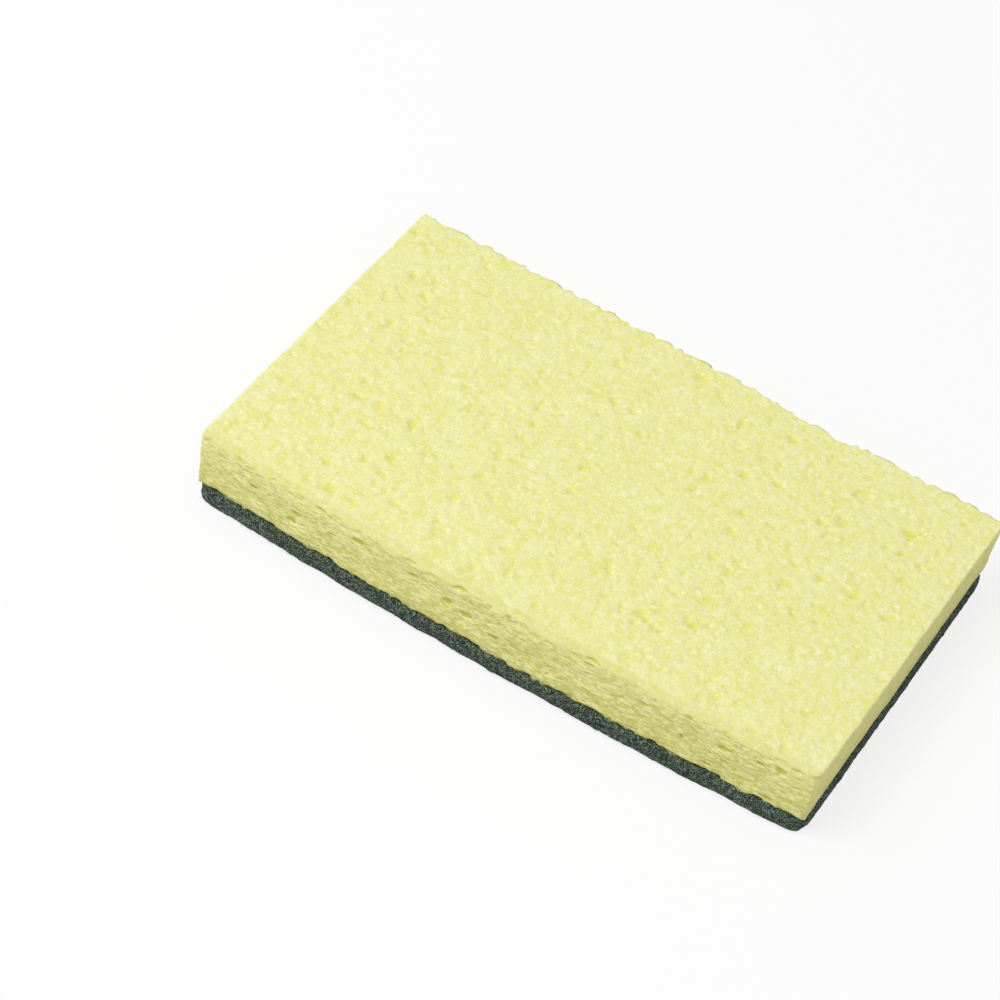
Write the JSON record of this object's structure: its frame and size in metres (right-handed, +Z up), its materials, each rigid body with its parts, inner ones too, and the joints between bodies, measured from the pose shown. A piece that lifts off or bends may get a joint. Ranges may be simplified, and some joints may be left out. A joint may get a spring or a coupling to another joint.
{
  "type": "cleaning sponge",
  "caption": "Flat rectangular cellulose sponge with open pores on every cut face and a thin green nonwoven scouring pad bonded under it.",
  "frame": {"origin": "centre of the bounding box at its lowest level, which is the scouring face the sponge lies on", "axes": "+X along the length, +Y across the width away from the swollen near side, +Z up from the scouring pad to the sponge's top"},
  "size_m": [0.1583, 0.0946, 0.0204],
  "materials": {
    "cellulose": "matt, finely porous, pale lemon yellow",
    "scouring_web": "matt felted fibre web, dark grey-green"
  },
  "bodies": {
    "root": {"sponge_block": "cellulose", "scouring_pad": "scouring_web"}
  },
  "joints": []
}
